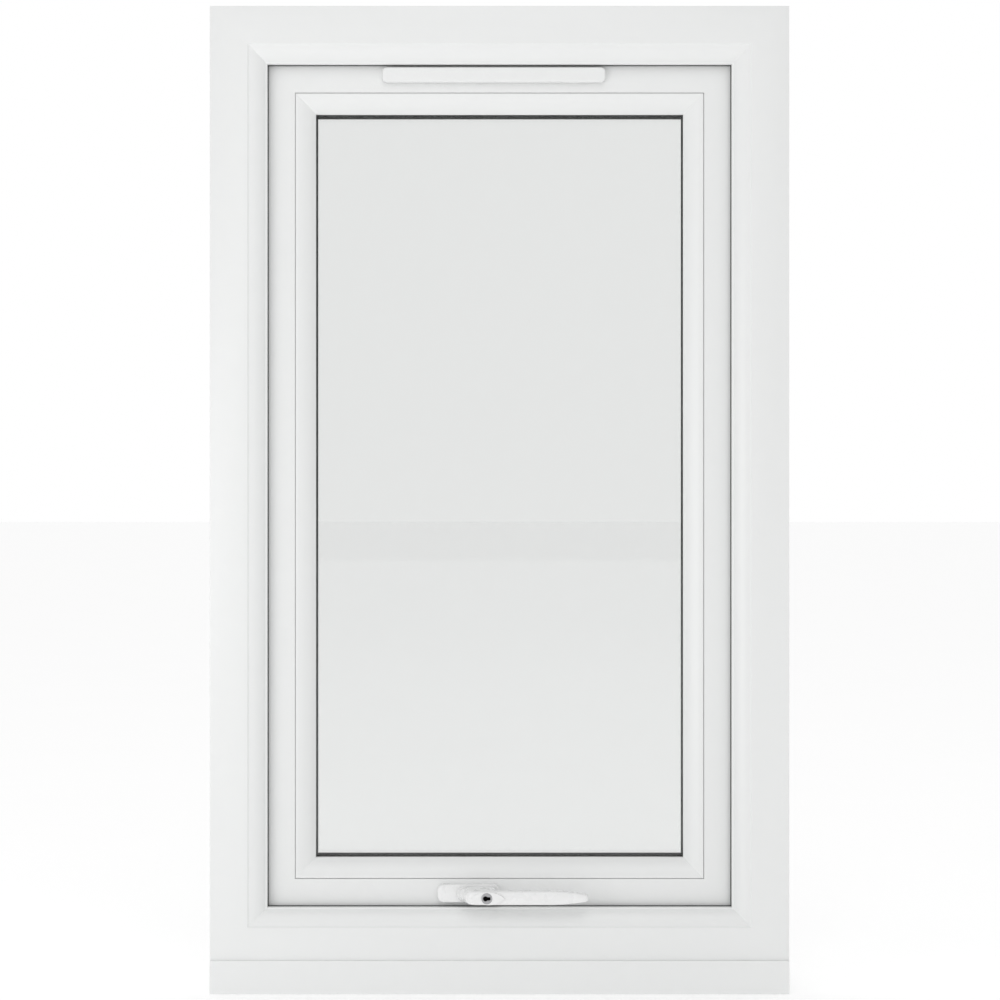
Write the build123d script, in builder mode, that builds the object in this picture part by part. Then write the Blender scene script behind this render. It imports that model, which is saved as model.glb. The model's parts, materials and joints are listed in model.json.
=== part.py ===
from build123d import *
from math import atan, cos, pi, radians, sin, sqrt, tan
import os

os.makedirs("parts", exist_ok=True)

# Top hung casement window. X runs to the right as seen from the room, Y runs outward
# and Z runs up. The frame's room face lies at y = 0 and the sill's underside at z = 0.
# All sizes are in millimetres. In the profile sections, u is measured inward from the
# outer edge of the frame and y outward from its room face.

# Overall size
window_width = 610
frame_height = 1010
sill_height = 30

# Outer frame section
frame_depth = 70
frame_flat = 39.5
quirk_width = 1.2
quirk_depth = 1.2
nose_reach = 59.5
nose_start = 9.5
nose_back = 18
frame_rebate = 36
nose_round = 1
nose_rise = 1.2
nose_bulge_u = 10.4
nose_bulge_y = 2.4
nose_chamber = 47
chamber_first = 22
chamber_second = 50
wall = 2.8
web = 1.6

# Sash section
sash_face = 22
rebate_gap = 16
sash_body = 36
flange_lap = 8
flange_gap = 3
flange_thickness = 9
lip_reach = 21.3
lip_thickness = 11
lip_edge = 4
hardware_groove_depth = 3
hardware_groove_width = 16.6
rod_groove_depth = 8
rod_groove_width = 10
hardware_line = 50
sash_arris = 1.5
lip_flat = 9
lip_bulge_u = 16.5
lip_bulge_y = 3.2
lip_chamber = 12

# Glazing
pane_thickness = 4
outer_gasket = 3
glass_face = 40
glass_edge_gap = 5.5
seal_depth = 5.5
spacer_height = 6.5
spacer_wall = 0.6
bead_joint = 0.4
bead_curve_depth = 8
bead_gasket = 1
gasket_width = 6

# Sill
sill_front = 2
sill_upstand = 5
sill_reach = 150
sill_nose_height = 13
sill_cap = 3
cap_spigot = 8
spigot_fit = 0.2

# Friction stays
fixed_pivot_drop = 115
link_length = 50
bar_length = 170
opening_angle = 40
track_width = 17
track_sheet = 1.5
track_height = 7.1
track_slot = 8
track_below_shoe = 45
track_screw_end = 9
track_screw_low = 20
track_screw_middle = 90
track_screw_high = 170
track_above_pivot = 20
stay_plate = 3
stay_width = 16
bar_corner = 0.3
stay_layer = 9
stay_gap = 0.3
pin_radius = 3
pin_fit = 0.05
rivet_head = 5.5
rivet_head_height = 1.3
rivet_tail = 2.5
tail_depth = 2
rivet_shoulder = 4.5
rivet_collar = 3.6
shoe_length = 30
bar_tail = 12
bar_nose = 10
bar_screw_low = 30
bar_screw_middle = 75
bar_screw_drop = 25

# Espagnolette
handle_x = -32.7
backset = 21.7
gear_module = 1.5
pinion_teeth = 12
pressure_angle = 20
addendum = 1
dedendum = 1.3
backlash = 0.25
pinion_width = 8
hub_radius = 6.5
case_width = 54
case_depth = 12
case_top = 33.5
case_wall = 1.7
case_gap = 0.4
case_corner = 5
faceplate_length = 360
faceplate_width = 16
plate_screw_end = 8
rod_thickness = 3
rod_width = 9.4
rod_length = 300
rod_gap = 0.3
cam_spacing = 240
cam_pin = 3
cam_head = 5
cam_head_height = 2
cam_reach = 8
keep_length = 46
keep_width = 22
keep_plate = 2.5
keep_screw_end = 12
keep_lip = 2
keep_lip_length = 20
keep_lip_height = 12
keep_lead = 1
cam_fit = 0.4

# Handle
base_length = 66
base_height = 19
base_thickness = 10
base_ridge = 1.2
cover_wall = 2
plate_thickness = 6.5
screw_centres = 43
handle_screw = 2.4
handle_screw_head = 4.2
handle_screw_length = 34
journal_radius = 5.8
journal_gap = 0.4
spindle_size = 7
spindle_fit = 0.05
spindle_hole = 8
spindle_depth = 12
lever_reach = 125.8
heel_length = 15
lever_width = 14.4
lever_tip_width = 8
lever_taper = 40
lever_thickness = 10
lever_front = -22
lever_soft_edge = 1.8
neck_left = 12.8
neck_right = 34
neck_gap = 0.3
boss_left = 2.9
boss_right = 37.4
boss_height = 13.6
boss_proud = 1.8
lock_offset = 19.5
barrel_radius = 5.8
barrel_length = 22
keyhole_radius = 2.5
keyhole_slot = 3.2
keyhole_length = 8.4
keyhole_depth = 9

# Trickle vent
vent_x = -6.6
vent_length = 235
vent_height = 16
vent_drop = 62
vent_depth = 8
vent_wall = 1.8
vent_slot_length = 200
vent_slot_height = 8
vent_pivot_radius = 1.2
vent_pivot_y = 19
vent_pivot_rise = 4.4
vent_knuckle = 2.2
vent_corner = 5
vent_back_gap = 0.3
vent_skirt_gap = 2.2
vent_plate = 2
vent_plate_gap = 0.4
vent_pin_length = 3
canopy_reach = 15
canopy_height = 24
canopy_shelf = 4
canopy_slope = 9

# Drain slots and fasteners
drain_offset = 180
drain_rise = 14
screw_shank = 1.9
screw_head = 3.8
screw_head_height = 1.4
screw_length = 12
fastener_sides = 6

# Places that follow from the sizes above
frame_top = sill_height + frame_height
half_width = window_width / 2
sash_edge = frame_rebate + rebate_gap
platform = sash_edge + sash_body
flange_edge = frame_rebate - flange_lap
flange_face = frame_depth + flange_gap
sash_outer = flange_face + flange_thickness
lip_face = sash_outer - lip_thickness
sightline = platform + lip_reach
glass_edge = platform + glass_edge_gap
glass_outer = lip_face - outer_gasket
spacer_width = glass_outer - glass_face - 2 * pane_thickness
groove_floor = sash_edge + hardware_groove_depth
rod_groove_floor = groove_floor + rod_groove_depth
stay_u = frame_rebate + stay_layer
vent_top_z = frame_top - vent_drop
fixed_pivot_z = frame_top - fixed_pivot_drop
head_pivot_z = fixed_pivot_z + link_length
arm_pivot_z = head_pivot_z - bar_length
arm_length = link_length + bar_length
shoe_z = arm_pivot_z - arm_length
handle_z = sill_height + sash_edge + backset
pitch_radius = gear_module * pinion_teeth / 2
rod_travel = pitch_radius * pi / 2
rod_bottom = groove_floor + rod_gap


# Frames of reference for the profiles

def ring_plane():
    """Section plane at the middle of the lower side, with u up and y outward."""
    return Plane(origin=(0, 0, sill_height), x_dir=(0, 0, 1), z_dir=(-1, 0, 0))


def ring_path():
    """Outer edge of the frame as a closed path from the middle of the lower side."""
    return Polyline(
        (0, sill_height),
        (-half_width, sill_height),
        (-half_width, frame_top),
        (half_width, frame_top),
        (half_width, sill_height),
        (0, sill_height),
    )


def side_plane(side):
    """Section plane across the middle of one side, with u inward and y outward."""
    middle = (sill_height + frame_top) / 2
    planes = {
        "bottom": Plane(origin=(0, 0, sill_height), x_dir=(0, 0, 1), z_dir=(-1, 0, 0)),
        "top": Plane(origin=(0, 0, frame_top), x_dir=(0, 0, -1), z_dir=(1, 0, 0)),
        "left": Plane(origin=(-half_width, 0, middle), x_dir=(1, 0, 0), z_dir=(0, 0, 1)),
        "right": Plane(origin=(half_width, 0, middle), x_dir=(-1, 0, 0), z_dir=(0, 0, -1)),
    }
    return planes[side]


def side_half_length(side):
    """Half the frame's outer length along one side."""
    return half_width if side in ("bottom", "top") else frame_height / 2


def mitre_plane(side, end):
    """Plane at 45 degrees through the frame's outer corner at one end of a side."""
    plane = side_plane(side)
    corner = plane.origin + plane.z_dir * (end * side_half_length(side))
    return Plane(origin=corner, z_dir=plane.x_dir + plane.z_dir * end)


def jamb_plane(hand, u):
    """Upright plane at depth u from one jamb, with y outward and z up."""
    return Plane(origin=(hand * (half_width - u), 0, 0), x_dir=(0, 1, 0), z_dir=(1, 0, 0))


def jamb_point(hand, u, z):
    """Plane on the hardware line at depth u from one jamb, facing the other jamb."""
    origin = (hand * (half_width - u), hardware_line, z)
    return Plane(origin=origin, x_dir=(0, 1, 0), z_dir=(-hand, 0, 0))


def rail_point(x, u):
    """Plane on the hardware line at depth u above the frame's lower edge, facing up."""
    return Plane(origin=(x, hardware_line, sill_height + u), x_dir=(1, 0, 0), z_dir=(0, 0, 1))


def face_point(x, y, z):
    """Plane at one point, facing the room."""
    return Plane(origin=(x, y, z), x_dir=(1, 0, 0), z_dir=(0, -1, 0))


def section_box(low_x, high_x, low_y, high_y, corner=0, mode=Mode.SUBTRACT):
    """Rectangle in an open sketch, given by its low and high sides."""
    with Locations(((low_x + high_x) / 2, (low_y + high_y) / 2)):
        if corner:
            RectangleRounded(high_x - low_x, high_y - low_y, corner, mode=mode)
        else:
            Rectangle(high_x - low_x, high_y - low_y, mode=mode)


def block(low_x, high_x, low_y, high_y, low_z, high_z, mode=Mode.ADD):
    """Box in an open part, given by its low and high sides."""
    with Locations(((low_x + high_x) / 2, (low_y + high_y) / 2, (low_z + high_z) / 2)):
        Box(high_x - low_x, high_y - low_y, high_z - low_z, mode=mode)


def pin(plane, start, end, radius, mode=Mode.ADD):
    """Cylinder in an open part, between two heights above a plane's origin."""
    with Locations(plane.offset((start + end) / 2)):
        Cylinder(radius, end - start, mode=mode)


def prism(plane, start, end, radius, mode=Mode.ADD):
    """Six-sided prism in an open part, between two heights above a plane's origin."""
    with BuildSketch(plane.offset(start)) as outline:
        RegularPolygon(radius, fastener_sides)
    extrude(outline.sketch, amount=end - start, mode=mode)


def screw_at(plane, head_up=True, length=screw_length, radius=screw_shank, head=screw_head):
    """Pan head screw with its head on the plane, above or below it, and its shank opposite."""
    side = 1 if head_up else -1
    prism(plane, 0, -side * length, radius)
    prism(plane, 0, side * screw_head_height, head)


def finish(part, label):
    """Label a finished piece and write it as a STEP file."""
    part.part.label = label
    export_step(part.part, f"parts/{label}.step")


# Stations of the screws and fittings
sides = {"left": -1, "right": 1}
track_bottom = shoe_z - track_below_shoe
track_top = fixed_pivot_z + track_above_pivot
shoe_travel = 2 * bar_length * (1 - cos(radians(opening_angle)))
shoe_top = shoe_z + shoe_travel + shoe_length / 2
track_screw_z = [track_bottom + track_screw_end]
track_screw_z += [shoe_top + rise for rise in (track_screw_low, track_screw_middle, track_screw_high)]
bar_bottom = arm_pivot_z - bar_tail
bar_top = head_pivot_z + bar_nose
bar_screw_z = [arm_pivot_z + bar_screw_low, arm_pivot_z + bar_screw_middle]
bar_screw_z.append(head_pivot_z - bar_screw_drop)
keep_x = [handle_x - cam_spacing / 2, handle_x + cam_spacing / 2]
plate_screw_x = [handle_x + end * (faceplate_length / 2 - plate_screw_end) for end in (-1, 1)]
slot_z = vent_top_z - vent_height / 2
flap_bottom = vent_top_z - vent_height
vent_pivot_z = flap_bottom + vent_pivot_rise
base_front = sash_face - base_thickness
lever_back = lever_front + lever_thickness
keep_screw_offsets = (0, keep_screw_end - keep_length)
drain_x = [-drain_offset, drain_offset]
drain_z = sill_height + drain_rise


# Outer frame, four welded lengths of one hollow extruded section
gasket_groove_start = 50.2
gasket_groove_end = 53.8
gasket_groove_depth = 3.2
frame_chambers = [
    (wall, chamber_first),
    (chamber_first + web, chamber_second),
    (chamber_second + web, frame_depth - wall),
]
drain_slot_length = 26
drain_slot_height = 5
with BuildPart() as outer_frame:
    with BuildLine(Plane.XZ) as frame_path:
        ring_path()
    with BuildSketch(ring_plane()):
        with BuildLine():
            Polyline(
                (nose_reach - nose_round, nose_start),
                (nose_reach, nose_start + nose_rise),
                (nose_reach, nose_back),
                (frame_rebate, nose_back),
                (frame_rebate, frame_depth),
                (0, frame_depth),
                (0, 0),
                (frame_flat, 0),
                (frame_flat + quirk_width, quirk_depth),
            )
            ThreePointArc(
                (frame_flat + quirk_width, quirk_depth),
                (frame_flat + nose_bulge_u, quirk_depth + nose_bulge_y),
                (nose_reach - nose_round, nose_start),
            )
        make_face()
        for near, far in frame_chambers:
            section_box(wall, frame_rebate - wall, near, far)
        section_box(frame_rebate, nose_chamber, quirk_depth + wall, nose_back - wall)
        section_box(
            gasket_groove_start, gasket_groove_end,
            nose_back - gasket_groove_depth, nose_back,
        )
    sweep(path=frame_path.wires()[0], transition=Transition.RIGHT)
    for hand in sides.values():
        for z in track_screw_z:
            prism(jamb_point(hand, frame_rebate, z), -screw_length, 0, screw_shank, Mode.SUBTRACT)
        tail_hole = jamb_point(hand, frame_rebate, fixed_pivot_z)
        prism(tail_hole, -tail_depth, 0, rivet_tail, Mode.SUBTRACT)
    for x in keep_x:
        for offset in keep_screw_offsets:
            hole = rail_point(x + offset, frame_rebate)
            prism(hole, -screw_length, 0, screw_shank, Mode.SUBTRACT)
    for x in drain_x:
        block(
            x - drain_slot_length / 2, x + drain_slot_length / 2,
            frame_depth - wall, frame_depth,
            drain_z - drain_slot_height / 2, drain_z + drain_slot_height / 2,
            Mode.SUBTRACT,
        )
finish(outer_frame, "outer_frame")

# Frame gasket, pushed into the groove behind the nose
seal_gap = 0.3
gasket_foot_fit = 0.2
gasket_lip = 1.2
gasket_slope = 1.5
gasket_show = 1
gasket_foot = nose_back - gasket_groove_depth + gasket_foot_fit
gasket_foot_start = gasket_groove_start + gasket_foot_fit
gasket_foot_end = gasket_groove_end - gasket_foot_fit
gasket_low = gasket_groove_start - 1
gasket_high = nose_reach + gasket_show
with BuildPart() as frame_gasket:
    with BuildLine(Plane.XZ) as gasket_path:
        ring_path()
    with BuildSketch(ring_plane()):
        with BuildLine():
            Polyline(
                (gasket_foot_start, gasket_foot),
                (gasket_foot_start, nose_back),
                (gasket_low, nose_back),
                (gasket_low, nose_back + gasket_lip),
                (gasket_groove_start + gasket_slope, sash_face - seal_gap),
                (gasket_groove_end + gasket_slope, sash_face - seal_gap),
                (gasket_high, nose_back + gasket_lip),
                (gasket_high, nose_back),
                (gasket_foot_end, nose_back),
                (gasket_foot_end, gasket_foot),
                close=True,
            )
        make_face()
    sweep(path=gasket_path.wires()[0], transition=Transition.RIGHT)
finish(frame_gasket, "frame_gasket")


# Sill, an extruded hollow board with an upstand in the room and a drip nose outside
sill_web_first = 40
sill_web_second = 72
sill_chambers = [(0, sill_web_first), (sill_web_first + web, sill_web_second)]
sill_slope_start = 3
sill_slope_drop = 2.5
sill_nose_round = 3
sill_nose_wall = 4.8
drip_groove = 2
drip_inset = 10


def sill_outline():
    """Outline of the sill's section, with y outward and z up."""
    return Polyline(
        (-sill_front, 0),
        (-sill_front, sill_height + sill_upstand),
        (0, sill_height + sill_upstand),
        (0, sill_height),
        (frame_depth, sill_height),
        (frame_depth + sill_slope_start, sill_height - sill_slope_drop),
        (sill_reach - sill_nose_round, sill_nose_height + 2),
        (sill_reach, sill_nose_height - 1),
        (sill_reach, 0),
        close=True,
    )


with BuildPart() as sill:
    with BuildSketch(Plane.YZ.offset(-half_width + sill_cap)):
        with BuildLine():
            sill_outline()
        make_face()
        with Locations((sill_reach - drip_inset, 0)):
            Circle(drip_groove, mode=Mode.SUBTRACT)
        for near, far in sill_chambers:
            section_box(near, far, wall, sill_height - wall)
        with BuildLine():
            Polyline(
                (sill_web_second + web, wall),
                (sill_web_second + web, sill_height - sill_slope_drop - wall - 0.5),
                (sill_reach - sill_nose_wall, sill_nose_height - 1),
                (sill_reach - sill_nose_wall, wall),
                close=True,
            )
        make_face(mode=Mode.SUBTRACT)
    extrude(amount=window_width - 2 * sill_cap)
finish(sill, "sill")

# Sill end caps, with spigots that plug the two square hollows
for name, hand in sides.items():
    with BuildPart() as sill_end_cap:
        with BuildSketch(Plane.YZ.offset(hand * half_width)):
            with BuildLine():
                sill_outline()
            make_face()
        extrude(amount=-hand * sill_cap)
        inner_x = hand * (half_width - sill_cap)
        spigot_end = inner_x - hand * cap_spigot
        for near, far in sill_chambers:
            block(
                min(inner_x, spigot_end), max(inner_x, spigot_end),
                near + spigot_fit, far - spigot_fit,
                wall + spigot_fit, sill_height - wall - spigot_fit,
            )
    finish(sill_end_cap, f"sill_end_cap_{name}")

# Drain covers over the slots in the outside face, open underneath
cover_half_length = 17
cover_top = 6
cover_bottom = 6
cover_proud = 4
cover_shell = 1.5
with BuildPart() as drain_covers:
    for x in drain_x:
        block(
            x - cover_half_length, x + cover_half_length,
            frame_depth, frame_depth + cover_proud,
            drain_z - cover_bottom, drain_z + cover_top,
        )
    for x in drain_x:
        block(
            x - cover_half_length + cover_shell, x + cover_half_length - cover_shell,
            frame_depth, frame_depth + cover_proud - cover_shell,
            drain_z - cover_bottom, drain_z + cover_top - cover_shell,
            Mode.SUBTRACT,
        )
finish(drain_covers, "drain_covers")


# Sash, four welded lengths of one hollow extruded section
hardware_near = hardware_line - hardware_groove_width / 2
hardware_far = hardware_line + hardware_groove_width / 2
rod_near = hardware_line - rod_groove_width / 2
rod_far = hardware_line + rod_groove_width / 2
case_low = handle_x - case_width / 2
case_high = handle_x + case_width / 2
vent_slot_low = vent_x - vent_slot_length / 2
vent_slot_high = vent_x + vent_slot_length / 2
with BuildPart() as sash_frame:
    with BuildLine(Plane.XZ) as sash_path:
        ring_path()
    with BuildSketch(ring_plane()):
        with BuildLine():
            Polyline(
                (platform + lip_flat, sash_outer),
                (flange_edge, sash_outer),
                (flange_edge, flange_face),
                (sash_edge, flange_face),
                (sash_edge, hardware_far),
                (groove_floor, hardware_far),
                (groove_floor, rod_far),
                (rod_groove_floor, rod_far),
                (rod_groove_floor, rod_near),
                (groove_floor, rod_near),
                (groove_floor, hardware_near),
                (sash_edge, hardware_near),
                (sash_edge, sash_face + sash_arris),
                (sash_edge + sash_arris, sash_face),
                (platform, sash_face),
                (platform, lip_face),
                (sightline, lip_face),
                (sightline, lip_face + lip_edge),
            )
            ThreePointArc(
                (sightline, lip_face + lip_edge),
                (platform + lip_bulge_u, sash_outer - lip_bulge_y),
                (platform + lip_flat, sash_outer),
            )
        make_face()
        section_box(sash_edge + wall, platform - wall, sash_face + wall, hardware_near - web)
        section_box(rod_groove_floor + web, platform - wall, hardware_near, hardware_far)
        section_box(sash_edge + wall, platform - wall, hardware_far + web, sash_outer - wall)
        section_box(platform, platform + lip_chamber, lip_face + wall, sash_outer - wall - web)
    sweep(path=sash_path.wires()[0], transition=Transition.RIGHT)
    # Pocket for the gearbox, and the holes for the spindle and the handle screws
    block(
        case_low - case_gap, case_high + case_gap,
        hardware_line - case_depth / 2 - case_gap, hardware_line + case_depth / 2 + case_gap,
        sill_height + groove_floor, sill_height + sash_edge + case_top + case_gap,
        Mode.SUBTRACT,
    )
    spindle_line = face_point(handle_x, sash_face, handle_z)
    pin(spindle_line, sash_face - hardware_line, 0, spindle_hole, Mode.SUBTRACT)
    for offset in (-screw_centres / 2, screw_centres / 2):
        hole = face_point(handle_x + offset, sash_face, handle_z)
        prism(hole, sash_face - hardware_line, 0, handle_screw, Mode.SUBTRACT)
    # Slot for air through the top rail
    block(
        vent_slot_low, vent_slot_high, sash_face, sash_outer,
        slot_z - vent_slot_height / 2, slot_z + vent_slot_height / 2, Mode.SUBTRACT,
    )
    for hand in sides.values():
        for z in bar_screw_z:
            prism(jamb_point(hand, groove_floor, z), 0, screw_length, screw_shank, Mode.SUBTRACT)
    for x in plate_screw_x:
        prism(rail_point(x, groove_floor), 0, screw_length, screw_shank, Mode.SUBTRACT)
finish(sash_frame, "sash_frame")

# Weather gasket on the sash flange, facing the outside of the frame
seal_inset = 1.5
flange_seal_low = flange_edge + seal_inset
flange_seal_high = frame_rebate - seal_inset
with BuildPart() as sash_gasket:
    with BuildLine(Plane.XZ) as weather_path:
        ring_path()
    with BuildSketch(ring_plane()):
        with BuildLine():
            Polyline(
                (flange_seal_low, flange_face),
                (flange_seal_low + 1, frame_depth + seal_gap),
                (flange_seal_high - 1, frame_depth + seal_gap),
                (flange_seal_high, flange_face),
                close=True,
            )
        make_face()
    sweep(path=weather_path.wires()[0], transition=Transition.RIGHT)
finish(sash_gasket, "sash_gasket")


# Sealed glass unit: two panes, a hollow spacer bar and the sealant round its edge
pane_width = window_width - 2 * glass_edge
pane_height = frame_height - 2 * glass_edge
pane_y = {"inner": glass_face, "outer": glass_face + pane_thickness + spacer_width}
for name, near in pane_y.items():
    with BuildPart() as pane:
        with BuildSketch(face_point(0, near + pane_thickness, sill_height + frame_height / 2)):
            Rectangle(pane_width, pane_height)
        extrude(amount=pane_thickness)
    finish(pane, f"{name}_pane")

spacer_near = glass_face + pane_thickness
spacer_far = spacer_near + spacer_width
spacer_edge = glass_edge + seal_depth
with BuildPart() as spacer_bar:
    with BuildLine(Plane.XZ) as spacer_path:
        ring_path()
    with BuildSketch(ring_plane()):
        section_box(spacer_edge, spacer_edge + spacer_height, spacer_near, spacer_far, mode=Mode.ADD)
        section_box(
            spacer_edge + spacer_wall, spacer_edge + spacer_height - spacer_wall,
            spacer_near + spacer_wall, spacer_far - spacer_wall,
        )
    sweep(path=spacer_path.wires()[0], transition=Transition.RIGHT)
finish(spacer_bar, "spacer_bar")

with BuildPart() as edge_sealant:
    with BuildLine(Plane.XZ) as sealant_path:
        ring_path()
    with BuildSketch(ring_plane()):
        section_box(glass_edge, spacer_edge, spacer_near, spacer_far, mode=Mode.ADD)
    sweep(path=sealant_path.wires()[0], transition=Transition.RIGHT)
finish(edge_sealant, "edge_sealant")

# Gaskets that hold the glass between the beads and the outer lip
gasket_faces = {
    "inner_glazing_gasket": (glass_face - bead_gasket, glass_face),
    "outer_glazing_gasket": (glass_outer, lip_face),
}
for name, (near, far) in gasket_faces.items():
    with BuildPart() as glazing_gasket:
        with BuildLine(Plane.XZ) as glazing_path:
            ring_path()
        with BuildSketch(ring_plane()):
            section_box(sightline - gasket_width, sightline, near, far, mode=Mode.ADD)
        sweep(path=glazing_path.wires()[0], transition=Transition.RIGHT)
    finish(glazing_gasket, name)

# Packers between the glass edge and the sash
bead_leg = 7
packer_length = 60
packer_inset = 90
packer_near = glass_face + bead_leg
glass_half_width = pane_width / 2
with BuildPart() as glazing_packers:
    for hand in sides.values():
        x = hand * (glass_half_width - packer_inset)
        for low in (sill_height + platform, frame_top - glass_edge):
            block(
                x - packer_length / 2, x + packer_length / 2,
                packer_near, glass_outer, low, low + glass_edge_gap,
            )
        for z in (sill_height + glass_edge + packer_inset, frame_top - glass_edge - packer_inset):
            outer_x = hand * (half_width - platform)
            inner_x = hand * (half_width - glass_edge)
            block(
                min(outer_x, inner_x), max(outer_x, inner_x),
                packer_near, glass_outer, z - packer_length / 2, z + packer_length / 2,
            )
finish(glazing_packers, "glazing_packers")

# Glazing beads, four mitred lengths with a rounded room side and a clip leg
bead_edge = platform + bead_joint
bead_back = glass_face - bead_gasket
bead_leg_thickness = 2.2
bead_hollow = 8
bead_bulge_u = 12
bead_bulge_y = 2.6
for side in ("bottom", "top", "left", "right"):
    with BuildPart() as glazing_bead:
        with BuildSketch(side_plane(side)):
            with BuildLine():
                ThreePointArc(
                    (bead_edge, sash_face),
                    (bead_edge + bead_bulge_u, sash_face + bead_bulge_y),
                    (sightline - 1, sash_face + bead_curve_depth),
                )
                Polyline(
                    (sightline - 1, sash_face + bead_curve_depth),
                    (sightline, sash_face + bead_curve_depth + nose_rise),
                    (sightline, bead_back),
                    (bead_edge + bead_leg_thickness, bead_back),
                    (bead_edge + bead_leg_thickness, bead_back + bead_leg),
                    (bead_edge, bead_back + bead_leg),
                    (bead_edge, sash_face),
                )
            make_face()
            section_box(
                bead_edge + bead_leg_thickness, sightline - bead_leg_thickness,
                bead_back - bead_hollow, bead_back - web,
            )
        extrude(amount=side_half_length(side), both=True)
        for end in (-1, 1):
            split(bisect_by=mitre_plane(side, end), keep=Keep.BOTTOM)
    finish(glazing_bead, f"glazing_bead_{side}")


# Friction stays, one in each jamb
def flat_bar(low_z, high_z, width, hand, u, thickness):
    """Flat bar with cut corners upright on the hardware line, from depth u inward."""
    middle = (hardware_line, (low_z + high_z) / 2)
    with BuildSketch(jamb_plane(hand, u)) as outline:
        with Locations(middle):
            Rectangle(width, high_z - low_z)
        chamfer(outline.vertices(), width * bar_corner)
    extrude(outline.sketch, amount=-hand * thickness)


def pivot_rivet(hand, z, seat, collar):
    """Rivet from the frame side up through the layer of links, with its head inward."""
    prism(jamb_point(hand, seat, z), 0, stay_u - stay_gap - seat, collar)
    pin(jamb_point(hand, stay_u, z), -stay_gap, stay_plate + stay_gap, pin_radius)
    head = stay_plate + stay_gap
    prism(jamb_point(hand, stay_u, z), head, head + rivet_head_height, rivet_head)


def bar_rivet(hand, z):
    """Rivet from the sash bar down through the layer of links, with its head outward."""
    point = jamb_point(hand, sash_edge, z)
    prism(point, 0, hardware_groove_depth, rivet_tail)
    prism(point, stay_u + stay_plate + stay_gap - sash_edge, 0, rivet_shoulder)
    layer = jamb_point(hand, stay_u, z)
    pin(layer, -stay_gap, stay_plate + stay_gap, pin_radius)
    prism(layer, -stay_gap - rivet_head_height, -stay_gap, rivet_head)


track_inner = track_width - 2 * track_sheet
for name, hand in sides.items():
    with BuildPart() as stay_track:
        origin = (hand * (half_width - frame_rebate), hardware_line, track_bottom)
        with BuildSketch(Plane(origin=origin, x_dir=(-hand, 0, 0), z_dir=(0, 0, 1))):
            section_box(0, track_height, -track_width / 2, track_width / 2, mode=Mode.ADD)
            section_box(track_sheet, track_height - track_sheet, -track_inner / 2, track_inner / 2)
            section_box(track_sheet, track_height, -track_slot / 2, track_slot / 2)
        extrude(amount=track_top - track_bottom)
        for z in track_screw_z:
            prism(jamb_point(hand, frame_rebate, z), 0, track_sheet, screw_shank, Mode.SUBTRACT)
        rivet_hole = jamb_point(hand, frame_rebate, fixed_pivot_z)
        prism(rivet_hole, 0, track_sheet, rivet_tail, Mode.SUBTRACT)
    finish(stay_track, f"stay_track_{name}")

    with BuildPart() as stay_link:
        flat_bar(
            fixed_pivot_z - stay_width / 2, head_pivot_z + stay_width / 2,
            stay_width, hand, stay_u, stay_plate,
        )
        for z in (fixed_pivot_z, head_pivot_z):
            pin(jamb_point(hand, stay_u, z), 0, stay_plate, pin_radius + pin_fit, Mode.SUBTRACT)
    finish(stay_link, f"stay_link_{name}")

    with BuildPart() as stay_arm:
        flat_bar(
            shoe_z - stay_width / 2, arm_pivot_z + stay_width / 2,
            stay_width, hand, stay_u, stay_plate,
        )
        for z in (shoe_z, arm_pivot_z):
            pin(jamb_point(hand, stay_u, z), 0, stay_plate, pin_radius + pin_fit, Mode.SUBTRACT)
    finish(stay_arm, f"stay_arm_{name}")

    with BuildPart() as stay_shoe:
        block_u = frame_rebate + track_sheet + stay_gap
        block_height = track_height - 2 * track_sheet - 2 * stay_gap
        flat_bar(
            shoe_z - shoe_length / 2, shoe_z + shoe_length / 2,
            track_inner - 2 * stay_gap, hand, block_u, block_height,
        )
        pivot_rivet(hand, shoe_z, block_u, rivet_collar)
    finish(stay_shoe, f"stay_shoe_{name}")

    with BuildPart() as sash_bar:
        flat_bar(bar_bottom, bar_top, stay_width, hand, sash_edge, hardware_groove_depth)
        for z in bar_screw_z:
            prism(jamb_point(hand, sash_edge, z), 0, hardware_groove_depth, screw_shank, Mode.SUBTRACT)
        for z in (arm_pivot_z, head_pivot_z):
            prism(jamb_point(hand, sash_edge, z), 0, hardware_groove_depth, rivet_tail, Mode.SUBTRACT)
    finish(sash_bar, f"sash_bar_{name}")

with BuildPart() as stay_fixed_rivets:
    for hand in sides.values():
        floor_u = frame_rebate + track_sheet
        pivot_rivet(hand, fixed_pivot_z, floor_u, rivet_collar)
        prism(jamb_point(hand, floor_u, fixed_pivot_z), -track_sheet - tail_depth, 0, rivet_tail)
finish(stay_fixed_rivets, "stay_fixed_rivets")

for label, z in {"stay_head_rivets": head_pivot_z, "stay_arm_rivets": arm_pivot_z}.items():
    with BuildPart() as bar_rivets:
        for hand in sides.values():
            bar_rivet(hand, z)
    finish(bar_rivets, label)

with BuildPart() as stay_track_screws:
    for hand in sides.values():
        for z in track_screw_z:
            screw_at(jamb_point(hand, frame_rebate + track_sheet, z))
finish(stay_track_screws, "stay_track_screws")

with BuildPart() as sash_bar_screws:
    for hand in sides.values():
        for z in bar_screw_z:
            screw_at(jamb_point(hand, sash_edge, z), head_up=False)
finish(sash_bar_screws, "sash_bar_screws")


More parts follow.
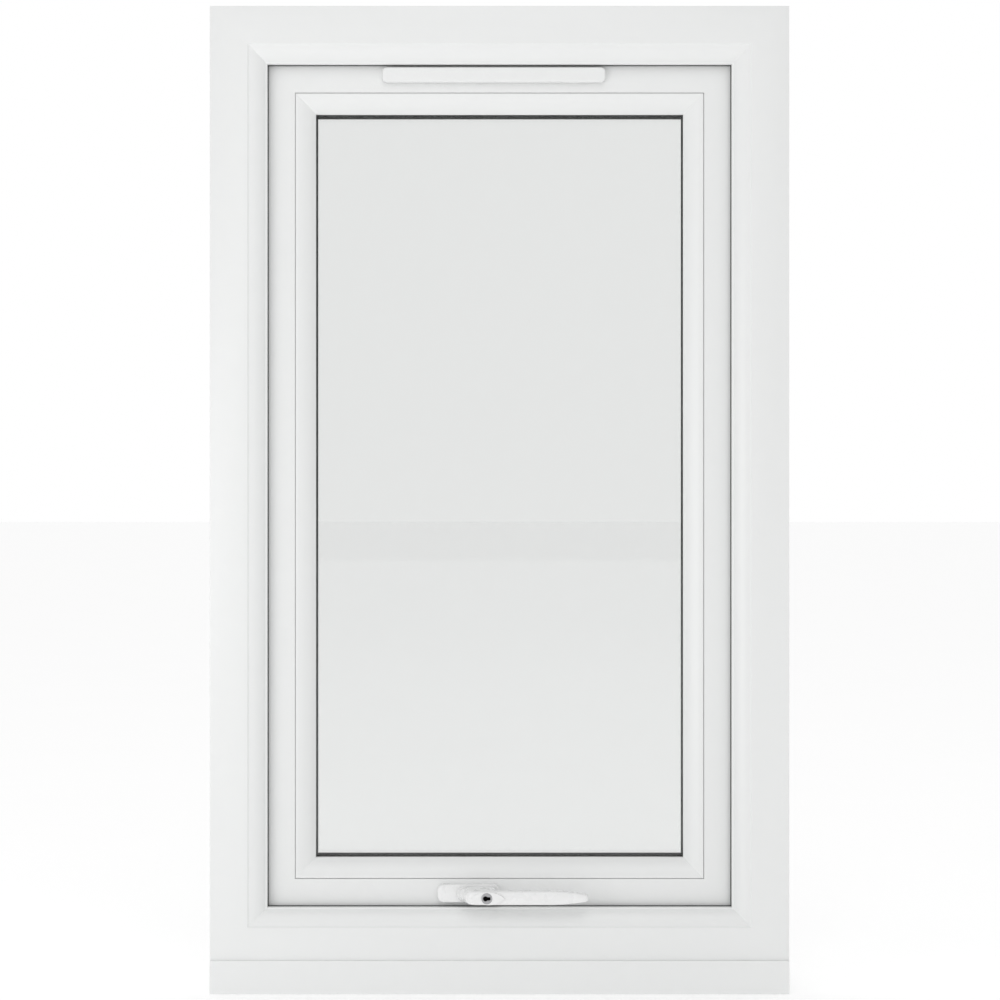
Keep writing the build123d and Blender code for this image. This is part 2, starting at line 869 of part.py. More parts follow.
# Espagnolette in the bottom rail
slot_clearance = 0.5
tooth_room = 0.5
tooth_sink = 0.5
case_near = hardware_line - case_depth / 2
case_far = hardware_line + case_depth / 2
rail_z = sill_height + sash_edge
axis_point = face_point(handle_x, case_near, handle_z)
rack_pitch_z = handle_z - pitch_radius
rack_root_z = rack_pitch_z - dedendum
rack_tip_z = rack_pitch_z + addendum
rod_z = sill_height + rod_bottom
tooth_pitch = pi * gear_module
rack_overrun = tooth_pitch
with BuildPart() as faceplate:
    with BuildSketch(Plane.XY.offset(rail_z)):
        with Locations((handle_x, hardware_line)):
            SlotOverall(faceplate_length, faceplate_width)
        for x in keep_x:
            with Locations((x + rod_travel / 2, hardware_line)):
                slot_length = rod_travel + 2 * cam_pin + 2 * slot_clearance
                SlotOverall(slot_length, 2 * cam_pin + 2 * slot_clearance, mode=Mode.SUBTRACT)
        for x in plate_screw_x:
            with Locations((x, hardware_line)):
                RegularPolygon(screw_shank, fastener_sides, mode=Mode.SUBTRACT)
    extrude(amount=hardware_groove_depth)
finish(faceplate, "espag_faceplate")

with BuildPart() as faceplate_screws:
    for x in plate_screw_x:
        screw_at(rail_point(x, sash_edge), head_up=False)
finish(faceplate_screws, "faceplate_screws")

with BuildPart() as gearbox_case:
    with BuildSketch(Plane.XZ.offset(-case_far)) as case_outline:
        section_box(case_low, case_high, sill_height + groove_floor, rail_z + case_top, mode=Mode.ADD)
        chamfer(case_outline.vertices().group_by(Axis.Z)[-1], case_corner)
    extrude(amount=case_depth)
    cavity = Plane.XZ.offset(-case_far + case_wall)
    with BuildSketch(cavity):
        with Locations((handle_x, handle_z)):
            Circle(pitch_radius + addendum + tooth_room)
        section_box(
            case_low + case_wall, case_high - case_wall,
            rod_z, rack_tip_z + tooth_room, mode=Mode.ADD,
        )
    extrude(amount=case_depth - 2 * case_wall, mode=Mode.SUBTRACT)
    block(
        case_low, case_high, rod_near, rod_far,
        sill_height + groove_floor, rod_z + rod_thickness + rod_gap, Mode.SUBTRACT,
    )
    pin(axis_point, -case_depth, 0, hub_radius + pin_fit, Mode.SUBTRACT)
    for offset in (-screw_centres / 2, screw_centres / 2):
        hole = face_point(handle_x + offset, case_near, handle_z)
        prism(hole, -case_depth, 0, handle_screw, Mode.SUBTRACT)
finish(gearbox_case, "gearbox_case")


# Drive rod, with a rack above its middle that the pinion turns on
def rack_tooth(x):
    """Straight-sided rack tooth centred at x, from below its root up to its tip."""
    lean = tan(radians(pressure_angle))
    half = tooth_pitch / 4 - backlash / 4
    foot = half + dedendum * lean
    tip = half - addendum * lean
    Polyline(
        (x - foot, rack_root_z - tooth_sink),
        (x - foot, rack_root_z),
        (x - tip, rack_tip_z),
        (x + tip, rack_tip_z),
        (x + foot, rack_root_z),
        (x + foot, rack_root_z - tooth_sink),
        close=True,
    )


rack_low = handle_x - rod_travel - rack_overrun
rack_high = handle_x + rack_overrun
rack_width = pinion_width
with BuildPart() as drive_rod:
    block(
        handle_x - rod_length / 2, handle_x + rod_length / 2,
        hardware_line - rod_width / 2, hardware_line + rod_width / 2,
        rod_z, rod_z + rod_thickness,
    )
    for x in keep_x:
        prism(rail_point(x, rod_bottom), 0, rod_thickness, rivet_tail, Mode.SUBTRACT)
    with BuildSketch(Plane.XZ.offset(-hardware_line)) as rack:
        rack_foot = rod_z + rod_thickness - tooth_sink
        section_box(rack_low, rack_high, rack_foot, rack_root_z, mode=Mode.ADD)
        for step in range(-4, 1):
            tooth_x = handle_x + (step + 0.5) * tooth_pitch
            with BuildLine():
                rack_tooth(tooth_x)
            make_face()
    extrude(amount=rack_width / 2, both=True)
finish(drive_rod, "drive_rod")

with BuildPart() as locking_cams:
    for x in keep_x:
        prism(rail_point(x, rod_bottom), 0, rod_thickness, rivet_tail)
        pin(rail_point(x, sash_edge), -cam_reach, rod_bottom - sash_edge, cam_pin)
        prism(rail_point(x, sash_edge), -cam_reach, -cam_reach + cam_head_height, cam_head)
finish(locking_cams, "locking_cams")


# Pinion, with involute teeth, a square bore and a hub at each end
def involute(angle):
    """Point at one roll angle on the involute of the pinion's base circle."""
    base = pitch_radius * cos(radians(pressure_angle))
    return (
        base * (cos(angle) + angle * sin(angle)),
        base * (sin(angle) - angle * cos(angle)),
    )


def turned(point, angle):
    """Point turned about the origin by an angle in radians."""
    x, z = point
    return (x * cos(angle) - z * sin(angle), x * sin(angle) + z * cos(angle))


base_radius = pitch_radius * cos(radians(pressure_angle))
tip_radius = pitch_radius + addendum
root_radius = pitch_radius - dedendum
roll_at_pitch = tan(radians(pressure_angle))
roll_at_tip = sqrt((tip_radius / base_radius) ** 2 - 1)
pitch_turn = roll_at_pitch - radians(pressure_angle)
half_tooth = (tooth_pitch / 2 - backlash / 2) / (2 * pitch_radius) + pitch_turn
flank_rolls = [0, roll_at_tip * 0.7, roll_at_tip]
with BuildPart() as pinion:
    with BuildSketch(face_point(handle_x, hardware_line + pinion_width / 2, handle_z)):
        Circle(root_radius)
        for tooth in range(pinion_teeth):
            centre = -pi / 2 + tooth * 2 * pi / pinion_teeth
            rising = [turned(involute(roll), -half_tooth + centre) for roll in flank_rolls]
            falling = [
                turned((involute(roll)[0], -involute(roll)[1]), half_tooth + centre)
                for roll in flank_rolls
            ]
            with BuildLine():
                ThreePointArc(*rising)
                Line(rising[-1], falling[-1])
                ThreePointArc(*reversed(falling))
                Polyline(
                    falling[0],
                    turned((root_radius - tooth_sink, 0), half_tooth + centre),
                    turned((root_radius - tooth_sink, 0), -half_tooth + centre),
                    rising[0],
                )
            make_face()
    extrude(amount=pinion_width)
    pin(axis_point, -case_depth, 0, hub_radius)
    with BuildSketch(face_point(handle_x, case_far, handle_z)):
        Rectangle(spindle_size + 2 * spindle_fit, spindle_size + 2 * spindle_fit)
    extrude(amount=case_depth, mode=Mode.SUBTRACT)
finish(pinion, "pinion")


# Keeps on the frame, each with a lip that pulls the cam in
lip_near = hardware_line + cam_pin + cam_fit
frame_floor_z = sill_height + frame_rebate
with BuildPart() as keeps:
    for x in keep_x:
        high = x + cam_head
        block(
            high - keep_length, high,
            hardware_line - keep_width / 2, hardware_line + keep_width / 2,
            frame_floor_z, frame_floor_z + keep_plate,
        )
        lip_end = x - cam_head - keep_lead
        block(
            lip_end - keep_lip_length, lip_end, lip_near, lip_near + keep_lip,
            frame_floor_z + keep_plate, frame_floor_z + keep_lip_height,
        )
        for offset in keep_screw_offsets:
            hole = rail_point(x + offset, frame_rebate)
            prism(hole, 0, keep_plate, screw_shank, Mode.SUBTRACT)
finish(keeps, "keeps")

with BuildPart() as keep_screws:
    for x in keep_x:
        for offset in keep_screw_offsets:
            screw_at(rail_point(x + offset, frame_rebate + keep_plate))
finish(keep_screws, "keep_screws")


# Handle: fixing plate, its cover, lever, spindle and lock
with BuildPart() as handle_plate:
    with BuildSketch(face_point(handle_x, sash_face, handle_z)):
        SlotOverall(base_length - 2 * cover_wall - 0.2, base_height - 2 * cover_wall - 0.2)
        Circle(journal_radius + pin_fit, mode=Mode.SUBTRACT)
        for offset in (-screw_centres / 2, screw_centres / 2):
            with Locations((offset, 0)):
                RegularPolygon(handle_screw, fastener_sides, mode=Mode.SUBTRACT)
    extrude(amount=plate_thickness)
finish(handle_plate, "handle_plate")

with BuildPart() as handle_screws:
    for offset in (-screw_centres / 2, screw_centres / 2):
        point = face_point(handle_x + offset, sash_face - plate_thickness, handle_z)
        screw_at(point, True, handle_screw_length, handle_screw, handle_screw_head)
finish(handle_screws, "handle_screws")

cover_edge = 1.2
with BuildPart() as handle_cover:
    with BuildSketch(face_point(handle_x, sash_face, handle_z)):
        SlotOverall(base_length, base_height)
    extrude(amount=base_thickness)
    ridge_start = Plane.YZ.offset(handle_x - base_length / 2)
    with BuildSketch(ridge_start):
        with BuildLine():
            Polyline(
                (sash_face, handle_z - base_height / 2),
                (sash_face, handle_z + base_height / 2),
                (base_front + base_ridge, handle_z + base_height / 2),
                (base_front, handle_z),
                (base_front + base_ridge, handle_z - base_height / 2),
                close=True,
            )
        make_face()
    extrude(amount=base_length, mode=Mode.INTERSECT)
    rim = handle_cover.faces().filter_by(Axis.Y, reverse=True).sort_by(Axis.Y)[0:2].edges()
    chamfer(rim.filter_by_position(Axis.Y, base_front + 0.1, sash_face - 1), cover_edge)
    with BuildSketch(face_point(handle_x, sash_face, handle_z)):
        SlotOverall(base_length - 2 * cover_wall, base_height - 2 * cover_wall)
    extrude(amount=base_thickness - cover_wall, mode=Mode.SUBTRACT)
    hole_line = face_point(handle_x, sash_face, handle_z)
    pin(hole_line, 0, base_thickness, journal_radius + journal_gap, Mode.SUBTRACT)
finish(handle_cover, "handle_cover")

neck_length = neck_left + neck_right
neck_middle = (neck_right - neck_left) / 2
neck_foot = base_front - neck_gap
neck_foot_height = 8
neck_foot_inset = 2
neck_sink = 1
boss_middle = (boss_left + boss_right) / 2
half_lever = lever_width / 2
heel_x = heel_length - neck_left
tip_end = lever_tip_width / 2
tip_x = lever_reach - tip_end
tip_lean = 2 * atan((half_lever - tip_end) / (lever_taper - tip_end))
tip_middle = (tip_lean + pi / 2) / 2
with BuildPart() as handle_lever:
    with BuildSketch(face_point(handle_x, lever_back, handle_z)) as blade:
        with BuildLine():
            EllipticalCenterArc((heel_x, 0), heel_length, half_lever, start_angle=90, arc_size=180)
            for up in (-1, 1):
                Line((heel_x, up * half_lever), (lever_reach - lever_taper, up * half_lever))
                TangentArc(
                    (lever_reach - lever_taper, up * half_lever),
                    (tip_x + tip_end * sin(tip_lean), up * tip_end * cos(tip_lean)),
                    tangent=(1, 0),
                )
                ThreePointArc(
                    (tip_x + tip_end * sin(tip_lean), up * tip_end * cos(tip_lean)),
                    (tip_x + tip_end * sin(tip_middle), up * tip_end * cos(tip_middle)),
                    (lever_reach, 0),
                )
        make_face()
    extrude(amount=lever_thickness)
    chamfer(handle_lever.faces().sort_by(Axis.Y)[0].edges(), lever_soft_edge)
    with BuildSketch(face_point(handle_x, neck_foot, handle_z)):
        with Locations((neck_middle - neck_foot_inset / 2, 0)):
            SlotOverall(neck_length - 2 * neck_foot_inset, 2 * neck_foot_height)
    with BuildSketch(face_point(handle_x, lever_back - neck_sink, handle_z)):
        with Locations((neck_middle, 0)):
            SlotOverall(neck_length - neck_sink, lever_width - 2 * journal_gap)
    loft()
    with BuildSketch(face_point(handle_x, lever_front + 1, handle_z)):
        with BuildLine():
            for up in (-1, 1):
                ThreePointArc((boss_left, 0), (boss_middle, up * boss_height / 2), (boss_right, 0))
        make_face()
    extrude(amount=1 + boss_proud)
    journal = face_point(handle_x, sash_face, handle_z)
    pin(journal, seal_gap, base_thickness + neck_gap + 0.5, journal_radius)
    with BuildSketch(journal.offset(seal_gap)):
        Rectangle(spindle_size + 2 * spindle_fit, spindle_size + 2 * spindle_fit)
    extrude(amount=spindle_depth, mode=Mode.SUBTRACT)
    lock_line = face_point(handle_x + lock_offset, lever_front - boss_proud, handle_z)
    pin(lock_line, -barrel_length, 0, barrel_radius + pin_fit, Mode.SUBTRACT)
finish(handle_lever, "handle_lever")

with BuildPart() as handle_spindle:
    with BuildSketch(face_point(handle_x, case_far - case_wall, handle_z)):
        Rectangle(spindle_size, spindle_size)
    extrude(amount=case_far - case_wall - sash_face + spindle_depth)
finish(handle_spindle, "handle_spindle")

barrel_proud = 0.4
with BuildPart() as lock_barrel:
    pin(lock_line, -barrel_length + seal_gap, barrel_proud, barrel_radius)
    with BuildSketch(lock_line.offset(barrel_proud)):
        Circle(keyhole_radius)
        with Locations((keyhole_length / 2 - keyhole_radius, 0)):
            Rectangle(keyhole_length, keyhole_slot)
    extrude(amount=-keyhole_depth, mode=Mode.SUBTRACT)
finish(lock_barrel, "lock_barrel")


# Trickle vent: base and tipping flap in the room, canopy outside
flap_back = sash_face - vent_back_gap
flap_front = sash_face - vent_depth
flap_low = vent_x - vent_length / 2
flap_high = vent_x + vent_length / 2
inner_low = flap_low + vent_wall
inner_high = flap_high - vent_wall
flap_soft_edge = 0.9
flap_inner_corner = 1
with BuildPart() as vent_flap:
    with BuildSketch(face_point(vent_x, flap_back, slot_z)) as flap_outline:
        Rectangle(vent_length, vent_height)
        fillet(flap_outline.vertices().group_by(Axis.Z)[0], vent_corner)
        fillet(flap_outline.vertices().group_by(Axis.Z)[-1], vent_corner / 2)
    extrude(amount=flap_back - flap_front)
    chamfer(vent_flap.faces().sort_by(Axis.Y)[0].edges(), flap_soft_edge)
    with BuildSketch(face_point(vent_x, flap_back, slot_z)) as flap_hollow:
        Rectangle(vent_length - 2 * vent_wall, vent_height - 2 * vent_wall)
        fillet(flap_hollow.vertices().group_by(Axis.Z)[0], flap_inner_corner)
    extrude(amount=flap_back - flap_front - vent_wall, mode=Mode.SUBTRACT)
    block(
        flap_low, flap_high, sash_face - vent_skirt_gap, sash_face,
        flap_bottom, vent_pivot_z, Mode.SUBTRACT,
    )
    for end_x, inward in ((inner_low, 1), (inner_high, -1)):
        pivot = Plane(origin=(end_x, vent_pivot_y, vent_pivot_z), x_dir=(0, 1, 0), z_dir=(inward, 0, 0))
        pin(pivot, -vent_wall / 2, vent_pin_length, vent_pivot_radius)
finish(vent_flap, "vent_flap")

knuckle_length = 4
vent_plate_drop = 1.4
with BuildPart() as vent_base:
    block(
        inner_low + vent_plate_gap, inner_high - vent_plate_gap,
        sash_face - vent_plate, sash_face,
        vent_pivot_z - vent_plate_drop, vent_top_z - vent_wall - vent_plate_gap,
    )
    for end_x, inward in ((inner_low + vent_plate_gap, 1), (inner_high - vent_plate_gap, -1)):
        pivot = Plane(origin=(end_x, vent_pivot_y, vent_pivot_z), x_dir=(0, 1, 0), z_dir=(inward, 0, 0))
        pin(pivot, 0, knuckle_length, vent_knuckle)
    for end_x, inward in ((inner_low + vent_plate_gap, 1), (inner_high - vent_plate_gap, -1)):
        pivot = Plane(origin=(end_x, vent_pivot_y, vent_pivot_z), x_dir=(0, 1, 0), z_dir=(inward, 0, 0))
        pin(pivot, 0, knuckle_length, vent_pivot_radius + pin_fit, Mode.SUBTRACT)
    block(
        vent_slot_low, vent_slot_high, sash_face - vent_plate, sash_face,
        slot_z - vent_slot_height / 2, slot_z + vent_slot_height / 2, Mode.SUBTRACT,
    )
finish(vent_base, "vent_base")

canopy_top = slot_z + canopy_height / 2
canopy_bottom = slot_z - canopy_height / 2
with BuildPart() as vent_canopy:
    with BuildSketch(Plane.YZ.offset(flap_low)):
        with BuildLine():
            Polyline(
                (sash_outer, canopy_bottom),
                (sash_outer, canopy_top),
                (sash_outer + canopy_shelf, canopy_top),
                (sash_outer + canopy_reach, canopy_top - canopy_slope),
                (sash_outer + canopy_reach, canopy_bottom),
                close=True,
            )
        make_face()
    extrude(amount=vent_length)
    with BuildSketch(Plane.YZ.offset(inner_low)):
        with BuildLine():
            Polyline(
                (sash_outer, canopy_bottom),
                (sash_outer, canopy_top - vent_wall),
                (sash_outer + canopy_shelf - vent_wall / 2, canopy_top - vent_wall),
                (sash_outer + canopy_reach - vent_wall, canopy_top - canopy_slope - vent_wall / 2),
                (sash_outer + canopy_reach - vent_wall, canopy_bottom),
                close=True,
            )
        make_face()
    extrude(amount=inner_high - inner_low, mode=Mode.SUBTRACT)
finish(vent_canopy, "vent_canopy")
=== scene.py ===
import json
import math

import bmesh
import bpy
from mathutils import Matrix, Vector


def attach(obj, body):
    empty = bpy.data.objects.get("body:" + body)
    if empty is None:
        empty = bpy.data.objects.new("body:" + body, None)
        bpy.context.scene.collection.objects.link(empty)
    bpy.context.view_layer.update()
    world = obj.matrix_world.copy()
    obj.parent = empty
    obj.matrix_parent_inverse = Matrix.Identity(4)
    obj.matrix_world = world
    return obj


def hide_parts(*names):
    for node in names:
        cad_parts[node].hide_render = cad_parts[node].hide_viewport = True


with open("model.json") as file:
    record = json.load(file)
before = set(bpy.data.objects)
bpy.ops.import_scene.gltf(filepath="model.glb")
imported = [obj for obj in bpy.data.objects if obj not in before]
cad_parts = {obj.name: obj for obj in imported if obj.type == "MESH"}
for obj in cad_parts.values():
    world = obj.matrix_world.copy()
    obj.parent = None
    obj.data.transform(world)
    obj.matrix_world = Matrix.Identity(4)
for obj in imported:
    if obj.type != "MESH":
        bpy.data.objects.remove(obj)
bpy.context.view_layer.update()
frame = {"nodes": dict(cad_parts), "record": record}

# All lengths are in metres. In the sections, u is measured inward from the frame's outer
# edge and y outward from its room face.
MM = 0.001
ARC_STEPS = 10
PROFILE_STEPS = 24
OUTLINE_STEPS = 20

# Window
HALF_WIDTH = 305 * MM
FRAME_LOW = 30 * MM
FRAME_HIGH = 1040 * MM
FRAME_DEPTH = 70 * MM
FRAME_FLAT = 39.5 * MM
NOSE_REACH = 59.5 * MM
NOSE_BACK = 18 * MM
REBATE = 36 * MM
SASH_FACE = 22 * MM
SIGHTLINE = 109.3 * MM

# The handle's axis and the lock beside it. Along the lever, neck and boss, sizes are
# measured from this axis.
HANDLE_X = -32.7 * MM
HANDLE_Z = 103.7 * MM
LOCK_OFFSET = 19.5 * MM
LOCK_X = HANDLE_X + LOCK_OFFSET
BARREL_FRONT = -24.2 * MM

# Look
GREEN_WHITE = (0.830, 0.838, 0.834)
# Near black painted into the keyway as its shade, with some oil and dirt
HANDLE_WHITE = (0.852, 0.854, 0.853)
KEYHOLE_SHADE_AND_OIL = (0.004, 0.004, 0.004)
NOISE_DETAIL = 3.0
NOISE_MIDDLE = (0.3, 0.7)
GLOSS_WANDER = 0.1
RELIEF_FINENESS = 5
RELIEF_STRENGTH = 0.15
GLASS_TINT = (0.955, 0.958, 0.956)
GLASS_ROUGH = 0.02
GLASS_MIRROR = (0.04, 1.0)
SLANT_POWER = 5.0
WAVE_SCALE = 4
WAVE_STRENGTH = 0.05
WAVE_HEIGHT = 0.2 * MM
PAGE = (1.0, 1.0, 1.0)
PAGE_LIGHT = 1.0
ROOM_LIGHT = 0.66
PAGE_TURN = 0.4
FLOOR_CORNERS = [(-40, -20, 0), (40, -20, 0), (40, 60, 0), (-40, 60, 0)]
FLOOR_TONES = ((0.93, 0.93, 0.93), (0.95, 0.95, 0.95))
FLOOR_NOISE = 3
FLOOR_ROUGH = 0.9
FLOOR_GLOW = 0.205
KEY_POWER = 6.8
KEY_SIZE = 1.0
KEY_PLACE = (-1.3, -1.6, 0.35)
KEY_TARGET = (-0.1, 0, 0.52)
TOP_POWER = 36
TOP_SIZE = 3.0
TOP_PLACE = (0.3, -4.6, 4.6)
TOP_TARGET = (0, 0, 0.4)
CAMERA_PLACE = (0.0005, -2.8, 0.5199)
CAMERA_LENS = 95.77
CAMERA_SENSOR = 36


# Materials

def new_material(name):
    """Empty node material with its output and one Principled shader, joined."""
    material = bpy.data.materials.new(name)
    material.use_nodes = True
    tree = material.node_tree
    tree.nodes.clear()
    output = tree.nodes.new("ShaderNodeOutputMaterial")
    shader = tree.nodes.new("ShaderNodeBsdfPrincipled")
    tree.links.new(shader.outputs["BSDF"], output.inputs["Surface"])
    return material, tree, shader, output


def noise(tree, scale, stretch=(1, 1, 1)):
    """Noise in the object's own metres, stretched along its axes."""
    place = tree.nodes.new("ShaderNodeTexCoord")
    mapping = tree.nodes.new("ShaderNodeMapping")
    mapping.inputs["Scale"].default_value = stretch
    texture = tree.nodes.new("ShaderNodeTexNoise")
    texture.inputs["Scale"].default_value = scale
    texture.inputs["Detail"].default_value = NOISE_DETAIL
    tree.links.new(place.outputs["Object"], mapping.inputs["Vector"])
    tree.links.new(mapping.outputs["Vector"], texture.inputs["Vector"])
    return texture.outputs["Fac"]


def map_range(tree, value, source, target):
    """Value carried from one range to another and held at its ends."""
    change = tree.nodes.new("ShaderNodeMapRange")
    change.inputs["From Min"].default_value = source[0]
    change.inputs["From Max"].default_value = source[1]
    change.inputs["To Min"].default_value = target[0]
    change.inputs["To Max"].default_value = target[1]
    tree.links.new(value, change.inputs["Value"])
    return change.outputs["Result"]


def bump(tree, value, strength, distance, target):
    """Fine relief from a value, joined to a shader's normal."""
    relief = tree.nodes.new("ShaderNodeBump")
    relief.inputs["Strength"].default_value = strength
    relief.inputs["Distance"].default_value = distance
    tree.links.new(value, relief.inputs["Height"])
    tree.links.new(relief.outputs["Normal"], target)


def mixed_colour(tree, value, target):
    """Colour mix driven by a value and joined to a shader's colour."""
    mix = tree.nodes.new("ShaderNodeMix")
    mix.data_type = "RGBA"
    tree.links.new(value, mix.inputs["Factor"])
    tree.links.new(mix.outputs["Result"], target)
    return mix


def two_tones(tree, shader, value, first, second):
    """Base colour that wanders between two close tones."""
    mix = mixed_colour(tree, value, shader.inputs["Base Color"])
    mix.inputs["A"].default_value = (*first, 1)
    mix.inputs["B"].default_value = (*second, 1)


def solid_finish(name, colour, rough, metallic=0.0, tone=0.97, scale=300, grain=(1, 1, 1),
                 depth=0.00002):
    """Opaque finish with slight wander in tone and gloss, and a fine relief."""
    material, tree, shader, _ = new_material(name)
    value = noise(tree, scale, grain)
    two_tones(tree, shader, value, [channel * tone for channel in colour], colour)
    gloss_range = (rough * (1 - GLOSS_WANDER), rough * (1 + GLOSS_WANDER))
    gloss = map_range(tree, value, NOISE_MIDDLE, gloss_range)
    tree.links.new(gloss, shader.inputs["Roughness"])
    shader.inputs["Metallic"].default_value = metallic
    fine = noise(tree, scale * RELIEF_FINENESS, grain)
    bump(tree, fine, RELIEF_STRENGTH, depth, shader.inputs["Normal"])
    return material


def glass_finish():
    """Clear glass that lets light through with a faint tint and mirrors at a slant."""
    material, tree, shader, output = new_material("clear_glass")
    tree.nodes.remove(shader)
    clear = tree.nodes.new("ShaderNodeBsdfTransparent")
    clear.inputs["Color"].default_value = (*GLASS_TINT, 1)
    gloss = tree.nodes.new("ShaderNodeBsdfGlossy")
    gloss.inputs["Roughness"].default_value = GLASS_ROUGH
    facing = tree.nodes.new("ShaderNodeLayerWeight")
    facing.inputs["Blend"].default_value = 0.5
    slant = tree.nodes.new("ShaderNodeMath")
    slant.operation = "POWER"
    slant.inputs[1].default_value = SLANT_POWER
    tree.links.new(facing.outputs["Facing"], slant.inputs[0])
    mirror = map_range(tree, slant.outputs["Value"], (0, 1), GLASS_MIRROR)
    bump(tree, noise(tree, WAVE_SCALE), WAVE_STRENGTH, WAVE_HEIGHT, gloss.inputs["Normal"])
    mix = tree.nodes.new("ShaderNodeMixShader")
    tree.links.new(mirror, mix.inputs["Fac"])
    tree.links.new(clear.outputs["BSDF"], mix.inputs[1])
    tree.links.new(gloss.outputs["BSDF"], mix.inputs[2])
    tree.links.new(mix.outputs["Shader"], output.inputs["Surface"])
    return material


def paint_shade_and_oil_by_depth(material, start, end):
    """Painted shade, with some oil and dirt: lets a finish fall to near black between two depths from
    the room.
    """
    tree = material.node_tree
    shader = next(node for node in tree.nodes if node.type == "BSDF_PRINCIPLED")
    colour = shader.inputs["Base Color"].links[0].from_socket
    place = tree.nodes.new("ShaderNodeTexCoord")
    split = tree.nodes.new("ShaderNodeSeparateXYZ")
    tree.links.new(place.outputs["Object"], split.inputs["Vector"])
    depth = map_range(tree, split.outputs["Y"], (start, end), (0, 1))
    # Painted shade: the colour is mixed towards near black as the depth grows
    mix = mixed_colour(tree, depth, shader.inputs["Base Color"])
    mix.inputs["B"].default_value = (*KEYHOLE_SHADE_AND_OIL, 1)
    tree.links.new(colour, mix.inputs["A"])


FINISHES = {
    "white_upvc": solid_finish(
        "white_upvc", GREEN_WHITE, 0.32, tone=0.985, scale=60, depth=0.000006),
    "black_rubber": solid_finish("black_rubber", (0.035, 0.04, 0.038), 0.6, tone=0.8),
    "clear_glass": glass_finish(),
    "spacer_aluminium": solid_finish("spacer_aluminium", (0.62, 0.63, 0.64), 0.45, 1.0),
    "packer_plastic": solid_finish("packer_plastic", (0.1, 0.2, 0.5), 0.5),
    "stay_steel": solid_finish(
        "stay_steel", (0.66, 0.66, 0.65), 0.34, 1.0, grain=(1, 1, 0.04)),
    "shoe_brass": solid_finish("shoe_brass", (0.72, 0.58, 0.32), 0.35, 1.0),
    "screw_steel": solid_finish("screw_steel", (0.6, 0.6, 0.6), 0.3, 1.0),
    "plated_steel": solid_finish(
        "plated_steel", (0.7, 0.69, 0.66), 0.38, 1.0, grain=(0.04, 1, 1)),
    "white_handle": solid_finish(
        "white_handle", HANDLE_WHITE, 0.28, tone=0.99, scale=90, depth=0.000001),
    "lock_chrome": solid_finish("lock_chrome", (0.42, 0.42, 0.43), 0.3, 1.0),
}
# Painted shade of the deep keyhole, with some oil and dirt: the keyhole is dark from just behind the
# barrel's front
paint_shade_and_oil_by_depth(FINISHES["lock_chrome"], BARREL_FRONT + 0.3 * MM, BARREL_FRONT + 1 * MM)

SLOT_OF = {part["node"]: part["material_slot"] for part in frame["record"]["subparts"]}
for node, carried in frame["nodes"].items():
    carried.data.materials.clear()
    carried.data.materials.append(FINISHES[SLOT_OF[node]])


# Mesh helpers

def piece(name, points, faces, node, body, sharp=None, angle=35):
    """Mesh piece that stands for a CAD node, rides its body and takes its finish."""
    mesh = bpy.data.meshes.new(name)
    mesh.from_pydata(points, [], faces)
    mesh.validate()
    shell = bmesh.new()
    shell.from_mesh(mesh)
    bmesh.ops.recalc_face_normals(shell, faces=shell.faces)
    shell.to_mesh(mesh)
    shell.free()
    for face in mesh.polygons:
        face.use_smooth = True
    mesh.set_sharp_from_angle(angle=math.radians(angle))
    if sharp:
        for edge in mesh.edges:
            if sharp(*edge.vertices):
                edge.use_edge_sharp = True
    made = bpy.data.objects.new(name, mesh)
    bpy.context.scene.collection.objects.link(made)
    mesh.materials.append(FINISHES[SLOT_OF[node]])
    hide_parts(node)
    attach(made, body)
    return made


def arc(start, middle, end, steps=ARC_STEPS):
    """Points on the arc through three points, both ends included."""
    (ax, ay), (bx, by), (cx, cy) = start, middle, end
    d = 2 * (ax * (by - cy) + bx * (cy - ay) + cx * (ay - by))
    a2, b2, c2 = ax * ax + ay * ay, bx * bx + by * by, cx * cx + cy * cy
    ux = (a2 * (by - cy) + b2 * (cy - ay) + c2 * (ay - by)) / d
    uy = (a2 * (cx - bx) + b2 * (ax - cx) + c2 * (bx - ax)) / d
    radius = math.hypot(ax - ux, ay - uy)
    first = math.atan2(ay - uy, ax - ux)
    halfway = (math.atan2(by - uy, bx - ux) - first) % math.tau
    turn = (math.atan2(cy - uy, cx - ux) - first) % math.tau
    if halfway > turn:
        turn -= math.tau
    return [
        (ux + radius * math.cos(first + turn * step / steps),
         uy + radius * math.sin(first + turn * step / steps))
        for step in range(steps + 1)
    ]


def rounded(points, radius, steps=8):
    """Closed outline whose corners are all rounded by one radius."""
    made = []
    for index, point in enumerate(points):
        corner = Vector(point)
        before = (Vector(points[index - 1]) - corner).normalized()
        after = (Vector(points[(index + 1) % len(points)]) - corner).normalized()
        half = before.angle(after) / 2
        reach = radius / math.tan(half)
        centre = corner + (before + after).normalized() * (radius / math.sin(half))
        middle = centre + (corner - centre).normalized() * radius
        made += arc(tuple(corner + before * reach), tuple(middle), tuple(corner + after * reach), steps)
    return made


def joined(shapes):
    """Points and faces of several skins as one."""
    points, faces = [], []
    for shape_points, shape_faces in shapes:
        start = len(points)
        points += shape_points
        faces += [tuple(index + start for index in face) for face in shape_faces]
    return points, faces


def face_ring(outline, y):
    """Outline in x and z set at one depth."""
    return [(x, y, z) for x, z in outline]


def loops(rows, close_end=True):
    """Points and faces of a skin over loops with equal counts, closed at its start."""
    count = len(rows[0])
    points = [point for row in rows for point in row]
    faces = []
    for row in range(len(rows) - 1):
        here, there = row * count, (row + 1) * count
        for k in range(count):
            nxt = (k + 1) % count
            faces.append((here + k, here + nxt, there + nxt, there + k))
    faces.append(tuple(range(count - 1, -1, -1)))
    if close_end:
        last = (len(rows) - 1) * count
        faces.append(tuple(range(last, last + count)))
    return points, faces


# Sections carried round the window

